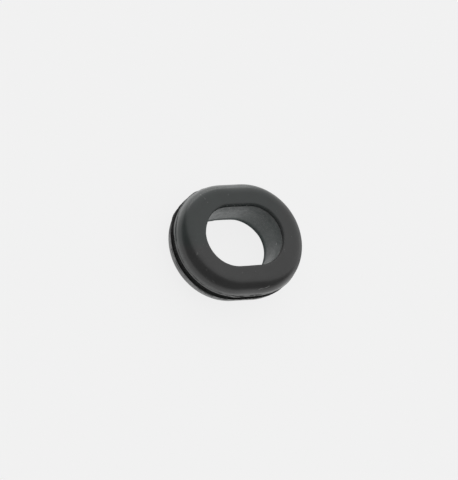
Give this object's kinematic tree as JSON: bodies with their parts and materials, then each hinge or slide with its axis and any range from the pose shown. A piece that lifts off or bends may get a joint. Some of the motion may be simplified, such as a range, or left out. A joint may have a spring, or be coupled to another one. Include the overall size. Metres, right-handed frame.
{
  "type": "rubber grommet",
  "caption": "Oval black rubber grommet: two rounded flanges with a panel groove between them, lining a slotted panel hole to guard a cable.",
  "frame": {"origin": "centre of the lower flange's outer face, which the grommet lies on", "axes": "+Z along the cable hole, up through the grommet; +X along the oval's long axis"},
  "size_m": [0.0312, 0.0262, 0.0098],
  "materials": {
    "black_rubber": "matte moulded rubber"
  },
  "bodies": {
    "root": {"grommet": "black_rubber"}
  },
  "joints": []
}
